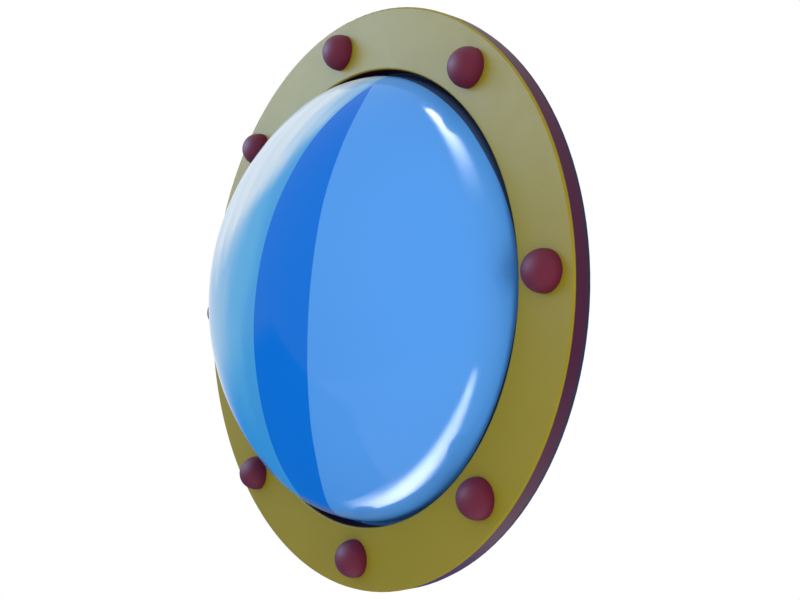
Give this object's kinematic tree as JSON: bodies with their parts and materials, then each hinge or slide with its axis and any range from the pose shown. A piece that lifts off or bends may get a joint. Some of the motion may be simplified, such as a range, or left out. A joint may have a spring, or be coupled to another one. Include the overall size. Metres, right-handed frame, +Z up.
{
  "type": "porthole window",
  "caption": "Fixed round window: a thick face ring with capped bolts holds a blown dome that stands out through its bore.",
  "frame": {"origin": "centre of the window on the wall plane, which is the back of the gasket", "axes": "+Z up, +Y into the wall along the window's axis, the dome stands out towards -Y"},
  "size_m": [0.6199, 0.185, 0.62],
  "materials": {
    "ring": "satin",
    "gasket": "matt",
    "dome": "gloss",
    "seal": "matt",
    "clamp": "satin",
    "screws": "plated",
    "bolts": "plated",
    "seats": "satin",
    "caps": "gloss"
  },
  "bodies": {
    "root": {"face_ring": "ring", "wall_gasket": "gasket", "front_seal": "gasket", "dome": "dome", "rear_seal": "seal", "clamp_ring": "clamp", "clamp_screws": "screws", "mount_bolts": "bolts", "cap_seat_1": "seats", "cap_seat_2": "seats", "cap_seat_3": "seats", "cap_seat_4": "seats", "cap_seat_5": "seats", "cap_seat_6": "seats", "cap_seat_7": "seats", "cap_seat_8": "seats", "dome_cap_1": "caps", "dome_cap_2": "caps", "dome_cap_3": "caps", "dome_cap_4": "caps", "dome_cap_5": "caps", "dome_cap_6": "caps", "dome_cap_7": "caps", "dome_cap_8": "caps"}
  },
  "joints": []
}
